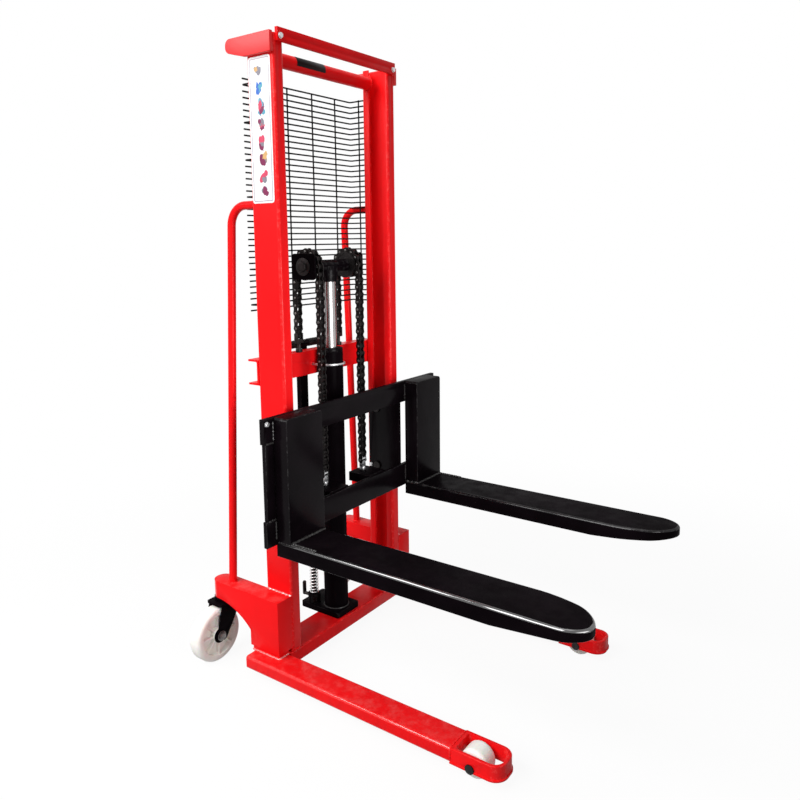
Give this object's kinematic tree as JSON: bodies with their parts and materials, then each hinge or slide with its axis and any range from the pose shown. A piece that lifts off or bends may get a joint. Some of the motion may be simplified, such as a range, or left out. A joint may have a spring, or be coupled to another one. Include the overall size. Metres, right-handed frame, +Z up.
{
  "type": "hand pallet stacker",
  "caption": "Hand-pumped straddle stacker: mast of facing C columns, chain-lifted fork carriage, straddle legs on rollers, swivel casters and push handles.",
  "frame": {"origin": "floor level, under the middle of the overall length and width", "axes": "+X along the forks, +Y to the operator's left, +Z up"},
  "size_m": [1.322, 0.916, 1.98],
  "materials": {
    "red_paint": "gloss",
    "black_paint": "gloss",
    "black_wire": "satin",
    "chrome": "polished",
    "zinc": "zinc plated",
    "nylon": "satin",
    "chain_steel": "oiled",
    "spring_steel": "bright",
    "dark_steel": "oiled"
  },
  "bodies": {
    "chassis": {"mast_column_left": "red_paint", "mast_column_right": "red_paint", "top_front_bar": "red_paint", "top_bar_bolts": "zinc", "top_side_plates": "red_paint", "top_tie_bar": "red_paint", "rear_cross_channel": "red_paint", "base_cross_beam": "red_paint", "straddle_leg_left": "red_paint", "straddle_leg_right": "red_paint", "roller_housing_left": "red_paint", "roller_housing_right": "red_paint", "roller_axles": "dark_steel", "caster_bracket_left": "red_paint", "caster_bracket_right": "red_paint", "bracket_feet": "red_paint", "push_handles": "red_paint", "swivel_heads": "black_paint", "mesh_guard": "black_wire", "lift_cylinder": "black_paint", "cylinder_gland": "black_paint", "cylinder_u_bolt": "zinc", "pump_base_plate": "black_paint", "pump_body": "black_paint", "lever_bracket": "black_paint", "plunger_spring": "spring_steel", "chain_rears": "chain_steel", "rear_chain_anchors": "dark_steel"},
    "ram": {"piston_rod": "chrome", "crosshead": "black_paint", "wheel_axle": "dark_steel", "wheel_cheeks": "black_paint", "chain_wraps": "chain_steel", "chain_fronts": "chain_steel"},
    "carriage": {"fork_left": "black_paint", "fork_right": "black_paint", "fork_upright_left": "black_paint", "fork_upright_right": "black_paint", "upper_carriage_bar": "black_paint", "lower_carriage_bar": "black_paint", "carriage_end_strips": "black_paint", "roller_plates": "black_paint", "carriage_pins": "dark_steel", "anchor_blocks": "black_paint", "front_chain_anchors": "dark_steel"},
    "pump_lever": {"pump_lever": "black_paint"},
    "pump_plunger": {"pump_plunger": "zinc"},
    "release_valve": {"release_valve": "dark_steel"},
    "chain_wheel_left": {"chain_wheel_left": "dark_steel"},
    "guide_roller_lower_left": {"guide_roller_lower_left": "dark_steel"},
    "guide_roller_upper_left": {"guide_roller_upper_left": "dark_steel"},
    "front_roller_left": {"front_roller_left": "nylon"},
    "caster_swivel_left": {"caster_yoke_left": "black_paint"},
    "caster_wheel_left": {"caster_wheel_left": "nylon"},
    "chain_wheel_right": {"chain_wheel_right": "dark_steel"},
    "guide_roller_lower_right": {"guide_roller_lower_right": "dark_steel"},
    "guide_roller_upper_right": {"guide_roller_upper_right": "dark_steel"},
    "front_roller_right": {"front_roller_right": "nylon"},
    "caster_swivel_right": {"caster_yoke_right": "black_paint"},
    "caster_wheel_right": {"caster_wheel_right": "nylon"}
  },
  "joints": [
    {"name": "ram_lift", "type": "slide", "parent": "chassis", "child": "ram", "axis": [0, 0, 1], "range_m": [-0.2065, 0.535], "deforming": ["chain_rears"]},
    {"name": "carriage_lift", "type": "slide", "parent": "ram", "child": "carriage", "axis": [0, 0, 1], "range_m": [-0.2065, 0.535], "deforming": ["chain_fronts"]},
    {"name": "chain_wheel_left_turn", "type": "hinge", "parent": "ram", "child": "chain_wheel_left", "pos_m": [-0.4067, 0.11, 1.295], "axis": [0, 1, 0], "range_deg": [-628.7, 245.1]},
    {"name": "guide_roller_lower_left_turn", "type": "hinge", "parent": "carriage", "child": "guide_roller_lower_left", "pos_m": [-0.394, 0.284, 0.548], "axis": [0, 1, 0], "continuous": true},
    {"name": "guide_roller_upper_left_turn", "type": "hinge", "parent": "carriage", "child": "guide_roller_upper_left", "pos_m": [-0.394, 0.284, 0.765], "axis": [0, 1, 0], "continuous": true},
    {"name": "front_roller_left_turn", "type": "hinge", "parent": "chassis", "child": "front_roller_left", "pos_m": [0.363, 0.36, 0.04], "axis": [0, 1, 0], "continuous": true},
    {"name": "caster_swivel_left_turn", "type": "hinge", "parent": "chassis", "child": "caster_swivel_left", "pos_m": [-0.62, 0.337, 0.194], "axis": [0, 0, 1], "continuous": true},
    {"name": "caster_wheel_left_turn", "type": "hinge", "parent": "caster_swivel_left", "child": "caster_wheel_left", "pos_m": [-0.62, 0.29, 0.09], "axis": [1, 0, 0], "continuous": true},
    {"name": "chain_wheel_right_turn", "type": "hinge", "parent": "ram", "child": "chain_wheel_right", "pos_m": [-0.4067, -0.094, 1.295], "axis": [0, 1, 0], "range_deg": [-628.7, 245.1]},
    {"name": "guide_roller_lower_right_turn", "type": "hinge", "parent": "carriage", "child": "guide_roller_lower_right", "pos_m": [-0.394, -0.268, 0.548], "axis": [0, 1, 0], "continuous": true},
    {"name": "guide_roller_upper_right_turn", "type": "hinge", "parent": "carriage", "child": "guide_roller_upper_right", "pos_m": [-0.394, -0.268, 0.765], "axis": [0, 1, 0], "continuous": true},
    {"name": "front_roller_right_turn", "type": "hinge", "parent": "chassis", "child": "front_roller_right", "pos_m": [0.363, -0.344, 0.04], "axis": [0, 1, 0], "continuous": true},
    {"name": "caster_swivel_right_turn", "type": "hinge", "parent": "chassis", "child": "caster_swivel_right", "pos_m": [-0.62, -0.321, 0.194], "axis": [0, 0, 1], "continuous": true},
    {"name": "caster_wheel_right_turn", "type": "hinge", "parent": "caster_swivel_right", "child": "caster_wheel_right", "pos_m": [-0.62, -0.368, 0.09], "axis": [1, 0, 0], "continuous": true},
    {"name": "pump_stroke", "type": "hinge", "parent": "chassis", "child": "pump_lever", "pos_m": [-0.459, -0.026, 0.281], "axis": [0, -1, 0], "range_deg": [0, 45]},
    {"name": "plunger_stroke", "type": "slide", "parent": "chassis", "child": "pump_plunger", "axis": [0, 0, -1], "range_m": [0, 0.0195], "stiffness_N_per_m": 6000, "springref_m": -0.05, "deforming": ["plunger_spring"]},
    {"name": "release_turn", "type": "hinge", "parent": "chassis", "child": "release_valve", "pos_m": [-0.481, -0.026, 0.118], "axis": [-1, 0, 0], "range_deg": [0, 90]}
  ],
  "couplings": [
    {"joint": "carriage_lift", "follows": "ram_lift", "ratio": 1},
    {"joint": "chain_wheel_left_turn", "follows": "ram_lift", "rad_per_m": -20.379},
    {"joint": "chain_wheel_right_turn", "follows": "ram_lift", "rad_per_m": -20.379},
    {"joint": "plunger_stroke", "follows": "pump_stroke", "m_per_rad": 0.022}
  ]
}
